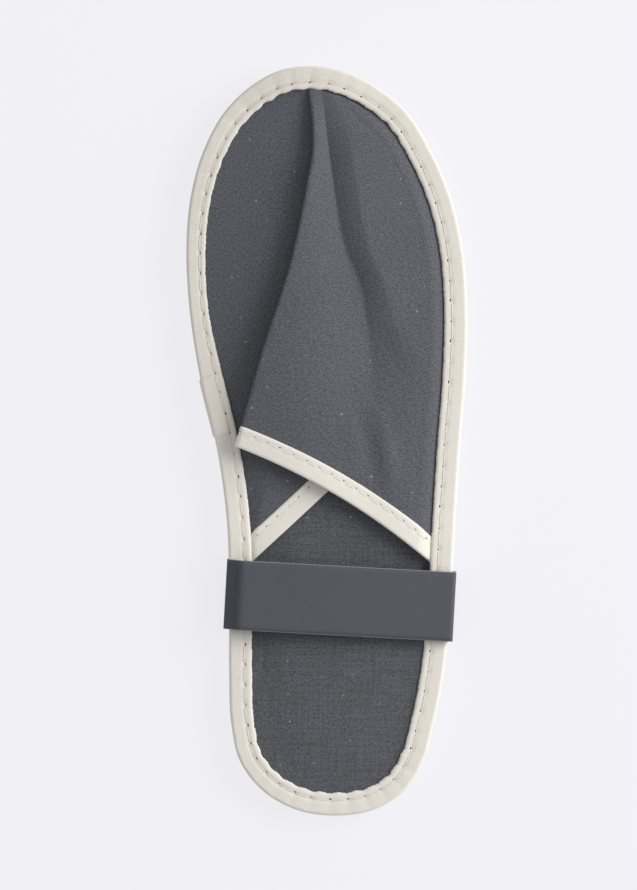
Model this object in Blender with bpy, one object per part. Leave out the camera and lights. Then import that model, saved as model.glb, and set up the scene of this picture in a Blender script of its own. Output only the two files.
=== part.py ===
# Hotel slipper for the right foot, as it comes packed: a soft sole with an insole, a cloth upper
# that lies low in one deep pleat, tapes that bind the sole's edge and the collar, and a paper band.
# X runs from the inner side of the foot to the outer side, Y from heel to toe, Z up from the floor.
# The origin is on the floor, under the middle of the sole's box.

import math
from collections import namedtuple
from functools import lru_cache

import bmesh
import bpy
import numpy as np

MM = 0.001  # every size below is in millimetres

# Driving sizes of the last
LENGTH = 280.0
BALL_WIDTH = 105.0
COLLAR_FROM_HEEL = 91.0  # where both ends of the collar meet the sole's edge
THROAT_FROM_HEEL = 138.3  # where the collar crosses the pleat's hidden crease
THROAT_TO_OUTER_SIDE = 17.7  # that crossing, from the centre line
PLEAT_FROM_TOE_TIP = 1.5  # along the edge, where the pleat starts

# Sheet thicknesses, and the clearance between pieces
GAP = 0.3
WALL = 1.2  # the upper's cloth with its lining
PRESSED_WALL = 0.6  # the same, pinched by the collar tape
OUTSOLE_TOP = 4.0
INSOLE_RIM = 2.0
INSOLE_CROWN = 0.9
EDGE_TAPE = 0.7
COLLAR_TAPE = 0.4
PAPER = 0.35

# Edge tape that wraps the sole, its stitched lap, and the room that it takes
EDGE_TAPE_WIDTH = 8.6
EDGE_TAPE_ROUND = 1.8
LAP_FROM_HEEL = (141.6, 162.9)
LAP_STEP = 0.6
LAP_EDGE = 0.15  # half of the length that the step takes
LAP_CLEAR = 1.0  # from that step to the next even step of the tape
FLOOR_CLEARANCE = 0.2
PIECE_INSET = EDGE_TAPE + GAP  # how far sole layers stand inside the tape's outside
CHAMFER = 1.2  # of the sole layers, under the tape's round corners
TREAD_SLOPE = 1.8  # how far the tread's edge leans in
COLLAR_FADE = (0.5, 7.5)  # past the collar, where the tape comes down to the insole

# Upper: where its edge is sewn down, and where it is free to rise
LASTED_INSET = 3.2
FREE_INSET = EDGE_TAPE_WIDTH + 0.5
CLIMB_INSET = EDGE_TAPE_WIDTH + 2.5
COLLAR_LIFT = 0.8  # room for the collar tape's ends under the edge tape
COLLAR_LIFT_SHARES = (0.90, 0.97)
COLLAR_LIFT_LEAD = 0.02  # how much earlier the edge tape starts to rise than the cloth
PRESSED_SHARES = (0.88, 0.93)
PANEL_DOME = 0.3  # share of the inner panel's climb that is domed, the rest is straight
FOLD_LEAST = 4.0  # least width, from the hidden crease, of the panel's stretch below the fold
STRIP_LEAST = 0.06  # least width of the flap's strip from fold to ridge, as a share of the flap
SHOULDER_REACH = 7.0  # from the edge tape, how soon the flap reaches its shoulder
STRIP_FALL = 1.8  # power by which the strip comes down, gently at the fold and more at the ridge
STEEPEST = 1.0  # rise over run, of the cloth beside the edge tape
LEAST_CLIMB = 1.0  # least run that a climb is spread over, where the cloth is narrow
FLAP_BOW = 4.1  # how far the flap's collar arches towards the toe
COLLAR_TAPE_WIDTH = 7.2
COLLAR_TAPE_OVERHANG = 0.8
NOSE = ((0.7, 0.75), (1.0, 0.0), (0.7, -0.75))  # its rounded edge: shares of overhang and height

# Low arch of the sole, in the waist that the band wraps
ARCH = 0.75
ARCH_FROM_HEEL = (36.0, 60.0, 102.0, 126.0)  # starts, full, still full, ends

# Paper band
BAND_WIDTH = 26.0
BAND_CENTRE = (5.3, -59.4)
BAND_TILT = -3.2  # degrees, its outer end towards the heel
BAND_ROUND_STEPS = 4

# Mesh steps
STEPS_PER_SIDE = 48
EDGE_TAPE_STEPS = 116
OUTLINE_STEPS = 14  # between two corners of the outline
SHARP_DEGREES = 40.0  # edges that bend more are shaded sharp

# The sole's edge: along is a share of LENGTH from the heel, inner and outer are shares of
# BALL_WIDTH from the centre line.
SoleSection = namedtuple("SoleSection", "along inner outer")
SOLE_SECTIONS = (
    SoleSection(0.000, 0.032, 0.032),
    SoleSection(0.010, -0.125, 0.181),
    SoleSection(0.034, -0.231, 0.278),
    SoleSection(0.072, -0.309, 0.342),
    SoleSection(0.123, -0.341, 0.381),
    SoleSection(0.189, -0.348, 0.415),
    SoleSection(0.289, -0.348, 0.440),
    SoleSection(0.389, -0.355, 0.456),
    SoleSection(0.489, -0.391, 0.473),
    SoleSection(0.588, -0.453, 0.493),
    SoleSection(0.688, -0.492, 0.498),
    SoleSection(0.755, -0.500, 0.484),
    SoleSection(0.821, -0.487, 0.445),
    SoleSection(0.888, -0.439, 0.370),
    SoleSection(0.942, -0.359, 0.278),
    SoleSection(0.977, -0.258, 0.157),
    SoleSection(0.993, -0.178, 0.061),
    SoleSection(1.000, -0.060, -0.060),
)

# The paper's way round the slipper: across is from the band's centre, radius that of each corner.
# It is creased on its outer side and rolls over loosely on its inner side.
BandCorner = namedtuple("BandCorner", "across height radius")
BAND_CORNERS = (
    BandCorner(42.4, 11.9, 1.6),
    BandCorner(-37.2, 15.0, 7.0),
    BandCorner(-43.6, 9.9, 1.6),
    BandCorner(-43.6, 0.1, 3.0),
    BandCorner(42.4, 0.1, 1.6),
)

# The insole's soft crown: inset from the edge tape, and share of INSOLE_CROWN
CrownRing = namedtuple("CrownRing", "inset share")
CROWN_RINGS = (CrownRing(0.0, 0.0), CrownRing(5.0, 0.15), CrownRing(11.0, 0.65), CrownRing(19.0, 1.0))

# The upper's pleat, from the toe to the collar: share is the way along, depth how far the fold
# lies inside the hidden crease, turn the bend of each fold in degrees, bend its radius, droop how
# far the fold lies below the ridge, valley how far the valley lies beside the hidden crease and
# wall how far its outer wall reaches. Rise is the height of the crease above the sewn edge, bulge
# that of the panel beside the fold, shoulder that of the flap's outer side and crest that of the
# flap beside the valley.
PleatSection = namedtuple(
    "PleatSection", "share depth turn bend rise droop bulge shoulder crest valley wall"
)
PLEAT_SECTIONS = (
    PleatSection(0.000, 0.3, 0.0, 0.8, 0.0, 0.0, 0.0, 0.4, 0.6, 2.0, 7.6),
    PleatSection(0.050, 0.3, 6.0, 0.8, 0.0, 0.0, 0.2, 1.0, 1.4, 2.0, 7.6),
    PleatSection(0.090, 0.4, 90.0, 0.8, 0.4, -0.3, 0.8, 2.2, 3.6, 2.0, 7.6),
    PleatSection(0.135, 3.6, 180.0, 0.85, 0.8, -0.9, 1.3, 2.9, 4.8, 1.8, 7.6),
    PleatSection(0.200, 4.4, 180.0, 0.85, 1.2, -2.0, 1.9, 3.5, 5.8, 1.8, 7.6),
    PleatSection(0.300, 8.0, 180.0, 0.85, 1.6, -3.0, 2.6, 4.0, 6.9, 1.8, 7.6),
    PleatSection(0.500, 18.2, 180.0, 0.85, 1.8, -4.0, 3.3, 4.6, 8.0, 2.2, 8.4),
    PleatSection(0.750, 34.7, 180.0, 1.0, 1.5, -3.6, 3.0, 5.2, 7.8, 3.2, 12.0),
    PleatSection(1.000, 49.9, 180.0, 1.1, 1.4, -1.4, 1.4, 5.4, 8.0, 3.2, 12.0),
)
UPPER_SHARES = (0.02, 0.05, 0.063, 0.076, 0.09, 0.105, 0.12, 0.135, 0.165, 0.2, 0.26, 0.34,
                0.43, 0.52, 0.62, 0.71, 0.80, 0.88, 0.93, 0.965, 1.0)

# The upper's zones across one section, inner side first, with the steps that each is drawn in
ZONE_STEPS = {"panel": 9, "crease": 6, "underlay": 6, "fold": 6, "strip": 5, "shelf": 11}
SEWN_STEPS = 2  # more of them, in the margins that the edge tape covers

# Heights that follow from the thicknesses
TAPE_FLOOR = FLOOR_CLEARANCE + EDGE_TAPE
OUTSOLE_RIM = TAPE_FLOOR + GAP
INSOLE_BOTTOM = OUTSOLE_TOP + GAP
INSOLE_RIM_TOP = INSOLE_BOTTOM + INSOLE_RIM
UPPER_EDGE = INSOLE_RIM_TOP + GAP + WALL / 2  # middle of the cloth where it is sewn down
EDGE_TAPE_TOP = INSOLE_RIM_TOP + GAP + EDGE_TAPE
UPPER_LIFT = WALL + GAP  # how much higher the edge tape runs over the upper's edge

# Finishes, one for each material slot
Finish = namedtuple("Finish", "slot colour roughness")
SLATE_CLOTH = Finish("slate_cloth", (0.092, 0.095, 0.104, 1.0), 0.9)
CREAM_TAPE = Finish("cream_tape", (0.70, 0.66, 0.58, 1.0), 0.85)
SLATE_PAPER = Finish("slate_paper", (0.085, 0.088, 0.100, 1.0), 0.55)
PALE_FOAM = Finish("pale_foam", (0.60, 0.58, 0.54, 1.0), 0.8)


def ramp(value, start, end):
    """Smooth step from 0 at start to 1 at end."""
    share = min(1.0, max(0.0, (value - start) / (end - start)))
    return share * share * (3.0 - 2.0 * share)


def unit(vector):
    return vector / np.linalg.norm(vector)


def along_pleat(column, share):
    """A column of the pleat's table between its rows, with no overshoot."""
    xs = [row.share for row in PLEAT_SECTIONS]
    ys = [getattr(row, column) for row in PLEAT_SECTIONS]
    slopes = [(b - a) / (q - p) for a, b, p, q in zip(ys, ys[1:], xs, xs[1:])]
    inner = [2.0 * a * b / (a + b) if a * b > 0.0 else 0.0 for a, b in zip(slopes, slopes[1:])]
    tangents = [slopes[0], *inner, slopes[-1]]
    i = next((k for k in range(len(xs) - 2) if share < xs[k + 1]), len(xs) - 2)
    h = xs[i + 1] - xs[i]
    u = (share - xs[i]) / h
    blend = u * u * (3.0 - 2.0 * u)
    lean = h * u * (1.0 - u) * ((1.0 - u) * tangents[i] - u * tangents[i + 1])
    return ys[i] + blend * (ys[i + 1] - ys[i]) + lean


class Outline:
    """The sole's edge from above, run from the toe tip down the outer side and up the inner side."""

    def __init__(self):
        outer = [(row.outer, row.along) for row in reversed(SOLE_SECTIONS)]
        inner = [(row.inner, row.along) for row in SOLE_SECTIONS[1:-1]]
        self.points = self.fitted(self.smooth(np.array(outer + inner) * (BALL_WIDTH, LENGTH)))
        steps = np.linalg.norm(np.roll(self.points, -1, axis=0) - self.points, axis=1)
        self.marks = np.concatenate([[0.0], np.cumsum(steps)])
        self.length = self.marks[-1]
        self.heel = OUTLINE_STEPS * (len(outer) - 1)  # index of the heel tip
        ahead = np.roll(self.points, -1, axis=0) - np.roll(self.points, 1, axis=0)
        ahead /= np.linalg.norm(ahead, axis=1)[:, None]
        self.inward = np.stack([ahead[:, 1], -ahead[:, 0]], axis=1)

    @staticmethod
    def smooth(corners):
        """A closed cubic curve through the corners."""
        chords = np.roll(corners, -1, axis=0) - corners
        spans = np.linalg.norm(chords, axis=1)[:, None]
        slopes = chords / spans
        before, span_before = np.roll(slopes, 1, axis=0), np.roll(spans, 1, axis=0)
        tangents = (before * spans + slopes * span_before) / (spans + span_before)
        drawn = []
        for i in range(len(corners)):
            j = (i + 1) % len(corners)
            for u in np.arange(OUTLINE_STEPS) / OUTLINE_STEPS:
                blend = u * u * (3.0 - 2.0 * u)
                lean = u * (1.0 - u) * ((1.0 - u) * tangents[i] - u * tangents[j])
                drawn.append(corners[i] + blend * chords[i] + spans[i] * lean)
        return np.array(drawn)

    @staticmethod
    def fitted(points):
        """The curve moved and scaled into a box of BALL_WIDTH by LENGTH round the origin."""
        low, high = points.min(axis=0), points.max(axis=0)
        return (points - (low + high) / 2.0) * ((BALL_WIDTH, LENGTH) / (high - low))

    def at(self, mark, inset=0.0):
        """The point at a distance along the edge, moved in by inset."""
        mark %= self.length
        i = min(int(np.searchsorted(self.marks, mark, side="right")) - 1, len(self.points) - 1)
        j = (i + 1) % len(self.points)
        u = (mark - self.marks[i]) / (self.marks[i + 1] - self.marks[i])
        inward = (1.0 - u) * self.inward[i] + u * self.inward[j]
        return (1.0 - u) * self.points[i] + u * self.points[j] + inset * inward

    def mark_from_heel(self, distance, side):
        """The distance along the edge at which one side is this far from the heel."""
        ys = self.points[:, 1] + LENGTH / 2.0
        if side == "outer":
            return float(np.interp(-distance, -ys[: self.heel], self.marks[: self.heel]))
        return float(np.interp(distance, ys[self.heel :], self.marks[self.heel : -1]))

    def gap_to(self, side, point):
        """How far a point is from one side of the edge."""
        edge = self.points[: self.heel + 1] if side == "outer" else self.points[self.heel :]
        return float(np.linalg.norm(edge - point, axis=1).min())

    def marks_by_side(self):
        """Marks for a ring whose two sides have matching steps, toe tip first."""
        heel = self.marks[self.heel]
        outer = np.linspace(0.0, heel, STEPS_PER_SIDE + 1)[:-1]
        inner = np.linspace(heel, self.length, STEPS_PER_SIDE + 1)[:-1]
        return [*outer, *inner]


EDGE = Outline()
TOE_MARK = PLEAT_FROM_TOE_TIP
OUTER_RUN = EDGE.mark_from_heel(COLLAR_FROM_HEEL, "outer") - TOE_MARK
INNER_RUN = TOE_MARK + EDGE.length - EDGE.mark_from_heel(COLLAR_FROM_HEEL, "inner")


def arched(point):
    """A point of the slipper, raised by the low arch of its waist, in metres."""
    x, y, z = point
    up_start, up_end, down_start, down_end = (d - LENGTH / 2.0 for d in ARCH_FROM_HEEL)
    z += ARCH * ramp(y, up_start, up_end) * (1.0 - ramp(y, down_start, down_end))
    return x * MM, y * MM, z * MM


def skin(bm, rows, wrap_rows=False, wrap_columns=False):
    """Quads between neighbouring rows of vertices."""
    row_pairs = list(zip(rows, rows[1:])) + ([(rows[-1], rows[0])] if wrap_rows else [])
    for first, second in row_pairs:
        count = len(first)
        for i in range(count if wrap_columns else count - 1):
            j = (i + 1) % count
            bm.faces.new((first[i], first[j], second[j], second[i]))


def ladder(bm, ring):
    """Closes a sole ring with rungs from its outer side to its inner side."""
    count = len(ring)
    half = count // 2
    bm.faces.new((ring[0], ring[1], ring[-1]))
    for i in range(1, half - 1):
        bm.faces.new((ring[i], ring[i + 1], ring[count - i - 1], ring[count - i]))
    bm.faces.new((ring[half - 1], ring[half], ring[half + 1]))


def material(look):
    made = bpy.data.materials.new(look.slot)
    made.use_nodes = True
    shader = made.node_tree.nodes["Principled BSDF"]
    shader.inputs["Base Color"].default_value = look.colour
    shader.inputs["Roughness"].default_value = look.roughness
    shader.inputs["Metallic"].default_value = 0.0
    made.diffuse_color = look.colour
    return made


def finish(bm, name, finish_material):
    """Turns a closed shape into a named, smooth shaded object."""
    bmesh.ops.recalc_face_normals(bm, faces=bm.faces)
    mesh = bpy.data.meshes.new(name)
    bm.to_mesh(mesh)
    bm.free()
    mesh.shade_smooth()
    mesh.set_sharp_from_angle(angle=math.radians(SHARP_DEGREES))
    mesh.materials.append(finish_material)
    made = bpy.data.objects.new(name, mesh)
    bpy.context.scene.collection.objects.link(made)
    return made


def sole_layer(name, profile, finish_material):
    """A closed layer of the sole: profile is (inset, height) from its lower face to its upper."""
    bm = bmesh.new()
    marks = EDGE.marks_by_side()
    rings = [
        [bm.verts.new(arched((*EDGE.at(mark, inset), height))) for mark in marks]
        for inset, height in profile
    ]
    skin(bm, rings, wrap_columns=True)
    ladder(bm, rings[0])
    ladder(bm, rings[-1])
    return finish(bm, name, finish_material)


def outsole(finish_material):
    profile = (
        (FREE_INSET + TREAD_SLOPE, 0.0),
        (FREE_INSET, OUTSOLE_RIM),
        (PIECE_INSET + CHAMFER, OUTSOLE_RIM),
        (PIECE_INSET, OUTSOLE_RIM + CHAMFER),
        (PIECE_INSET, OUTSOLE_TOP),
    )
    return sole_layer("outsole", profile, finish_material)


def insole(finish_material):
    profile = [
        (PIECE_INSET, INSOLE_BOTTOM),
        (PIECE_INSET, INSOLE_RIM_TOP - CHAMFER),
        (PIECE_INSET + CHAMFER, INSOLE_RIM_TOP),
    ]
    for ring in CROWN_RINGS:
        profile.append((EDGE_TAPE_WIDTH + ring.inset, INSOLE_RIM_TOP + ring.share * INSOLE_CROWN))
    return sole_layer("insole", profile, finish_material)


def tape_lift(mark):
    """How much higher the edge tape runs over the upper's edge and the collar's ends."""
    inner_way = (TOE_MARK - mark) % EDGE.length
    outer_way = (mark - TOE_MARK) % EDGE.length
    run, way = min(((INNER_RUN, inner_way), (OUTER_RUN, outer_way)), key=lambda pair: pair[1])
    past_collar = 1.0 - ramp(way - run, *COLLAR_FADE)
    lift_start, lift_end = (s - COLLAR_LIFT_LEAD for s in COLLAR_LIFT_SHARES)
    return past_collar * (UPPER_LIFT + COLLAR_LIFT * ramp(way / run, lift_start, lift_end))


def edge_tape_profile(top, step):
    """The tape's U round the sole's edge as (inset, height), step thicker on its outside."""
    corner = EDGE_TAPE_ROUND
    inside = corner - EDGE_TAPE
    drop = corner * (1.0 - math.sqrt(0.5))  # of the middle of a round corner
    lap = step * math.sqrt(0.5)
    outside = [
        (EDGE_TAPE_WIDTH, top + step),
        (corner, top + step),
        (drop - lap, top - drop + lap),
        (-step, top - corner),
        (-step, FLOOR_CLEARANCE + corner),
        (drop - lap, FLOOR_CLEARANCE + drop),
        (corner, FLOOR_CLEARANCE),
        (EDGE_TAPE_WIDTH, FLOOR_CLEARANCE),
    ]
    lining = [
        (EDGE_TAPE_WIDTH, TAPE_FLOOR),
        (EDGE_TAPE + inside, TAPE_FLOOR),
        (EDGE_TAPE, TAPE_FLOOR + inside),
        (EDGE_TAPE, top - EDGE_TAPE - inside),
        (EDGE_TAPE + inside, top - EDGE_TAPE),
        (EDGE_TAPE_WIDTH, top - EDGE_TAPE),
    ]
    return outside + lining


def edge_binding(finish_material):
    """The tape round the sole, with the step where its end laps over its start."""
    lap = [EDGE.mark_from_heel(distance, "inner") for distance in LAP_FROM_HEEL]
    edges = [mark + side * LAP_EDGE for mark in lap for side in (-1.0, 1.0)]
    even = np.linspace(0.0, EDGE.length, EDGE_TAPE_STEPS, endpoint=False)
    clear = [mark for mark in even if min(abs(mark - edge) for edge in edges) > LAP_CLEAR]
    bm = bmesh.new()
    loops = []
    for mark in sorted([*clear, *edges]):
        step = LAP_STEP if lap[0] < mark < lap[1] else 0.0
        profile = edge_tape_profile(EDGE_TAPE_TOP + tape_lift(mark), step)
        loops.append([bm.verts.new(arched((*EDGE.at(mark, inset), z))) for inset, z in profile])
    skin(bm, loops, wrap_rows=True, wrap_columns=True)
    return finish(bm, "edge_binding", finish_material)


FoldLines = namedtuple(
    "FoldLines",
    "inner_end crease fold outer_end edge crease_z fold_z ridge_z bulge_z shoulder crest_z valley "
    "wall bend turn across",
)


@lru_cache(maxsize=None)
def crease_at(share):
    toe = EDGE.at(TOE_MARK, LASTED_INSET)
    throat = np.array((THROAT_TO_OUTER_SIDE, THROAT_FROM_HEEL - LENGTH / 2.0))
    return toe + share * (throat - toe)


@lru_cache(maxsize=None)
def fold_at(share):
    turn = math.radians(along_pleat("turn", share))
    sideways = along_pleat("depth", share) * math.cos(turn)
    sideways += 2.0 * along_pleat("bend", share) * math.sin(turn)
    return crease_at(share) + (sideways, 0.0)


def across(line, share):
    """The level direction at right angles to a fold line, towards the outer side."""
    hair = 0.004
    x, y = line(min(1.0, share + hair)) - line(max(0.0, share - hair))
    return np.array((-y, x)) / math.hypot(x, y)


@lru_cache(maxsize=None)
def fold_lines(share):
    """The places and heights that one section of the upper runs through."""
    turn = math.radians(along_pleat("turn", share))
    bend = along_pleat("bend", share)
    edge = UPPER_EDGE + COLLAR_LIFT * ramp(share, *COLLAR_LIFT_SHARES)
    crease_z = UPPER_EDGE + along_pleat("rise", share)
    climb = 2.0 * bend * (1.0 - math.cos(turn)) + along_pleat("depth", share) * math.sin(turn)
    return FoldLines(
        inner_end=EDGE.at(TOE_MARK - share * INNER_RUN, LASTED_INSET),
        crease=crease_at(share),
        fold=fold_at(share),
        outer_end=EDGE.at(TOE_MARK + share * OUTER_RUN, LASTED_INSET),
        edge=edge,
        crease_z=crease_z,
        fold_z=crease_z + climb - along_pleat("droop", share),
        ridge_z=crease_z + climb,
        bulge_z=UPPER_EDGE + along_pleat("bulge", share),
        shoulder=along_pleat("shoulder", share),
        crest_z=UPPER_EDGE + along_pleat("crest", share),
        valley=along_pleat("valley", share),
        wall=along_pleat("wall", share),
        bend=bend,
        turn=turn,
        across=(across(crease_at, share), across(fold_at, share)),
    )


def from_tape(side, place):
    """How far a place lies inside the edge tape of one side."""
    return max(0.0, EDGE.gap_to(side, place) - CLIMB_INSET)


def dome(way):
    return math.sin(0.5 * math.pi * min(1.0, way))


def panel_height(lines, place):
    """The inner panel's height: up to its bulge beside the fold, then down to the hidden crease."""
    run = max(LEAST_CLIMB, from_tape("inner", lines.fold))
    way = min(1.0, from_tape("inner", place) / run)
    climb = way + PANEL_DOME * (dome(way) - way)
    hidden_from = min(lines.fold[0], lines.crease[0] - FOLD_LEAST)
    hidden = ramp(place[0], hidden_from, lines.crease[0])
    bulge = (lines.bulge_z - lines.edge) * climb
    return lines.edge + bulge + (lines.crease_z - lines.bulge_z) * hidden


def shelf_height(lines, place, ridge, beyond):
    """The flap's height outside its ridge: a valley, a crest, and level on to its shoulder."""
    gap = from_tape("outer", place)
    run = max(LEAST_CLIMB, from_tape("outer", ridge) - SHOULDER_REACH)
    rising = min(1.0, max(0.0, (gap - SHOULDER_REACH) / run))
    shoulder_z = lines.edge + lines.shoulder * dome(gap / SHOULDER_REACH)
    shelf_z = shoulder_z + rising * (lines.crest_z - shoulder_z)
    up_wall = ramp(beyond - lines.valley, 0.0, lines.wall)
    height = lines.ridge_z + up_wall * (shelf_z - lines.ridge_z)
    return min(height, lines.edge + STEEPEST * gap)


def flap_middle(zone, step, share):
    """A point of the flap, in its strip from fold to ridge or in the shelf outside the ridge."""
    lines = fold_lines(share)
    way = lines.outer_end - lines.fold
    ridge_step = max(STRIP_LEAST, (lines.crease[0] - lines.fold[0]) / way[0])
    along = ridge_step * step if zone == "strip" else ridge_step + (1.0 - ridge_step) * step
    bow = -unit(np.array((way[1], -way[0])))
    place = lines.fold + along * way + FLAP_BOW * share**3 * 4.0 * along * (1.0 - along) * bow
    if zone == "strip":
        height = lines.fold_z + (lines.ridge_z - lines.fold_z) * step**STRIP_FALL
    else:
        height = shelf_height(lines, place, lines.fold + ridge_step * way, (along - ridge_step) * way[0])
    return np.array((*place, height))


def upper_middle(zone, step, share):
    """A point in the middle of the upper's wall: step runs over a zone, share from toe to collar."""
    lines = fold_lines(share)
    crease_across, fold_across = lines.across
    if zone == "panel":
        place = lines.inner_end + step * (lines.crease - lines.inner_end)
        height = panel_height(lines, place)
    elif zone == "crease":
        angle = step * lines.turn
        place = lines.crease + lines.bend * math.sin(angle) * crease_across
        height = lines.crease_z + lines.bend * (1.0 - math.cos(angle))
    elif zone == "underlay":
        start, end = upper_middle("crease", 1.0, share), upper_middle("fold", 0.0, share)
        return start + step * (end - start)
    elif zone == "fold":
        angle = (1.0 - step) * lines.turn
        place = lines.fold - lines.bend * math.sin(angle) * fold_across
        height = lines.fold_z - lines.bend * (1.0 - math.cos(angle))
    else:
        return flap_middle(zone, step, share)
    return np.array((*place, height))


def upper_normal(zone, step, share):
    """The direction that the upper's outside faces."""
    hair = 0.01
    low, high = max(0.0, step - hair), min(1.0, step + hair)
    sideways = upper_middle(zone, high, share) - upper_middle(zone, low, share)
    low, high = max(0.0, share - hair), min(1.0, share + hair)
    lengthways = upper_middle(zone, step, high) - upper_middle(zone, step, low)
    return unit(np.cross(lengthways, sideways))


def free_step(zone, side):
    """Where along the collar a zone comes clear of the edge tape."""
    steps = np.linspace(0.0, 1.0, 401)
    clear = [s for s in steps if EDGE.gap_to(side, upper_middle(zone, s, 1.0)[:2]) > FREE_INSET]
    return clear[0] if side == "inner" else clear[-1]


def free_columns():
    """(zone, step) across the free cloth, each zone's first step left to the zone before it."""
    first, last = free_step("panel", "inner"), free_step("shelf", "outer")
    columns = [("panel", first)]
    for zone, count in ZONE_STEPS.items():
        start = first if zone == "panel" else 0.0
        end = last if zone == "shelf" else 1.0
        columns += [(zone, start + (end - start) * i / count) for i in range(1, count + 1)]
    return columns


def upper_columns():
    """The free columns with those of the sewn margins at both ends."""
    free = free_columns()
    first, last = free[0][1], free[-1][1]
    shares = [i / SEWN_STEPS for i in range(SEWN_STEPS)]
    before = [("panel", first * share) for share in shares]
    after = [("shelf", 1.0 + (last - 1.0) * share) for share in reversed(shares)]
    return before + free + after


def upper(finish_material):
    """The cloth upper: one wall, sewn down round the toe and sides, open at the collar and below."""
    bm = bmesh.new()
    outer_rows, inner_rows = [], []
    for share in UPPER_SHARES:
        half = 0.5 * (WALL + (PRESSED_WALL - WALL) * ramp(share, *PRESSED_SHARES))
        spots = [(upper_middle(*c, share), half * upper_normal(*c, share)) for c in upper_columns()]
        outer_rows.append([bm.verts.new(arched(middle + out)) for middle, out in spots])
        inner_rows.append([bm.verts.new(arched(middle - out)) for middle, out in spots])
    skin(bm, outer_rows)
    skin(bm, inner_rows)
    for end in (0, -1):
        skin(bm, [outer_rows[end], inner_rows[end]])
        skin(bm, [[row[end] for row in outer_rows], [row[end] for row in inner_rows]])
    return finish(bm, "upper", finish_material)


def collar_binding(finish_material):
    """The tape folded over the collar's edge, which it follows through the pleat."""
    columns = free_columns()
    rim = [upper_middle(*column, 1.0) for column in columns]
    near = PRESSED_WALL / 2.0 + GAP
    far = near + COLLAR_TAPE
    hair = 0.02
    bm = bmesh.new()
    outside, lining = [], []
    for i, column in enumerate(columns):
        normal = upper_normal(*column, 1.0)
        run = rim[min(i + 1, len(rim) - 1)] - rim[max(i - 1, 0)]
        out = unit(np.cross(run, normal))
        speed = abs(np.dot(rim[i] - upper_middle(*column, 1.0 - hair), out)) / hair
        tail = 1.0 - COLLAR_TAPE_WIDTH / speed
        shares = (tail, (1.0 + tail) / 2.0, 1.0)
        legs = [(upper_middle(*column, s), upper_normal(*column, s)) for s in shares]
        path = []
        for height, reach in ((far, COLLAR_TAPE_OVERHANG), (near, GAP)):
            side = [middle + height * up for middle, up in legs]
            side += [rim[i] + reach * e * out + height * h * normal for e, h in NOSE]
            side += [middle - height * up for middle, up in reversed(legs)]
            path.append([bm.verts.new(arched(point)) for point in side])
        outside.append(path[0])
        lining.append(path[1])
    skin(bm, outside)
    skin(bm, lining)
    for end in (0, -1):
        skin(bm, [outside[end], lining[end]])
        skin(bm, [[row[end] for row in outside], [row[end] for row in lining]])
    return finish(bm, "collar_binding", finish_material)


def band_loop(inset):
    """The paper's path round the slipper as (across, height), moved in by inset."""
    corners = [np.array((corner.across, corner.height)) for corner in BAND_CORNERS]
    path = []
    for i, corner in enumerate(corners):
        radius = BAND_CORNERS[i].radius
        before = unit(corners[i - 1] - corner)
        after = unit(corners[(i + 1) % len(corners)] - corner)
        half = 0.5 * math.acos(np.dot(before, after))
        middle = corner + radius / math.sin(half) * unit(before + after)
        start = unit(corner + radius / math.tan(half) * before - middle)
        end = unit(corner + radius / math.tan(half) * after - middle)
        for k in range(BAND_ROUND_STEPS + 1):
            share = k / BAND_ROUND_STEPS
            path.append(middle + (radius - inset) * unit((1.0 - share) * start + share * end))
    return path


def paper_band(finish_material):
    """The closed paper band round the waist, askew as it was slipped on."""
    half = BAND_WIDTH / 2.0
    turn = math.radians(BAND_TILT)
    bm = bmesh.new()
    loops = []
    for inset, along in ((0.0, -half), (0.0, half), (PAPER, half), (PAPER, -half)):
        loop = []
        for x, z in band_loop(inset):
            place = (
                BAND_CENTRE[0] + x * math.cos(turn) - along * math.sin(turn),
                BAND_CENTRE[1] + x * math.sin(turn) + along * math.cos(turn),
                z,
            )
            loop.append(bm.verts.new([MM * value for value in place]))
        loops.append(loop)
    skin(bm, loops, wrap_rows=True, wrap_columns=True)
    return finish(bm, "paper_band", finish_material)


def main():
    for old in list(bpy.data.objects):
        bpy.data.objects.remove(old)
    cloth = material(SLATE_CLOTH)
    tape = material(CREAM_TAPE)
    outsole(material(PALE_FOAM))
    insole(cloth)
    edge_binding(tape)
    upper(cloth)
    collar_binding(tape)
    paper_band(material(SLATE_PAPER))


main()
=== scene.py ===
import math

import bmesh
import bpy
import numpy as np
from mathutils import Matrix, Vector, noise


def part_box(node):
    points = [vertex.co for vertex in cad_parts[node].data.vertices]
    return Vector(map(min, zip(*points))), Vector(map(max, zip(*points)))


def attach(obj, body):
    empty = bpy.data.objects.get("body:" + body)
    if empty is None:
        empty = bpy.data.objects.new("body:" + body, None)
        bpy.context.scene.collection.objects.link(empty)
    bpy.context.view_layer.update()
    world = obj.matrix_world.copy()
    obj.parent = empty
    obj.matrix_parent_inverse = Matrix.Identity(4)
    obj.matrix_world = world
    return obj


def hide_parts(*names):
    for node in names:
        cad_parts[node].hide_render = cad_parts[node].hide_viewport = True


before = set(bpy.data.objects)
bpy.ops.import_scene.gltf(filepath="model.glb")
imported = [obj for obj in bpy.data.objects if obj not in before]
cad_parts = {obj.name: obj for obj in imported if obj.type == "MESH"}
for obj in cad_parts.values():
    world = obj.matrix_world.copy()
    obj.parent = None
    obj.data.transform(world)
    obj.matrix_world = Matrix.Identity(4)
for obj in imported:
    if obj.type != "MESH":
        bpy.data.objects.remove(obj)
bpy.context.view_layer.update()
mm = 0.001  # shapes are worked out in millimetres, X to the outer side, Y to the toe, Z up
print("frame loaded:", ", ".join(sorted(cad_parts)))


def ramp(value, start, end):
    # 0 at start, 1 at end and smooth between
    share = min(1.0, max(0.0, (value - start) / (end - start)))
    return share * share * (3.0 - 2.0 * share)


def swell(distance, width):
    # a bell, 1 at no distance
    return math.exp(-((distance / width) ** 2))


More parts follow.
